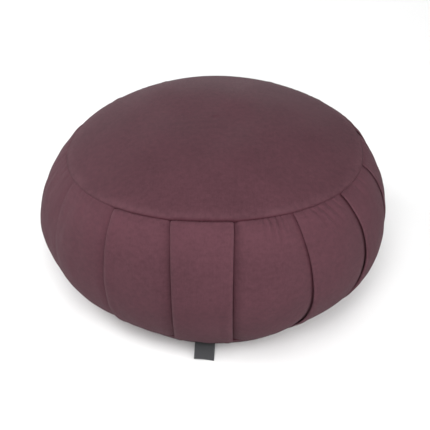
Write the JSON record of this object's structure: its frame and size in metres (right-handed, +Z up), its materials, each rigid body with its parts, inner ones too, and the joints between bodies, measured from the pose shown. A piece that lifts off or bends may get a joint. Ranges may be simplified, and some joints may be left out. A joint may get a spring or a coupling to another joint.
{
  "type": "zafu meditation cushion",
  "caption": "Round, firmly filled floor cushion with a domed top panel and a side band laid in lapped pleats, with a small woven tab at the base seam.",
  "frame": {"origin": "on the surface that the cushion rests on, under the cushion's axis", "axes": "+Z up out of the seat, -Y towards the front, where the flat panel between two facing folds and the tab are"},
  "size_m": [0.3388, 0.3342, 0.1747],
  "materials": {
    "plum_cotton_band": "plain-weave cotton, matt with a faint sheen",
    "plum_cotton_top": "plain-weave cotton, matt with a faint sheen",
    "plum_cotton_base": "plain-weave cotton, matt",
    "woven_tab": "dense woven tape, matt"
  },
  "bodies": {
    "root": {"pleated_body": "plum_cotton_band", "top_panel": "plum_cotton_top", "base_panel": "plum_cotton_base", "seam_label": "woven_tab"}
  },
  "joints": []
}
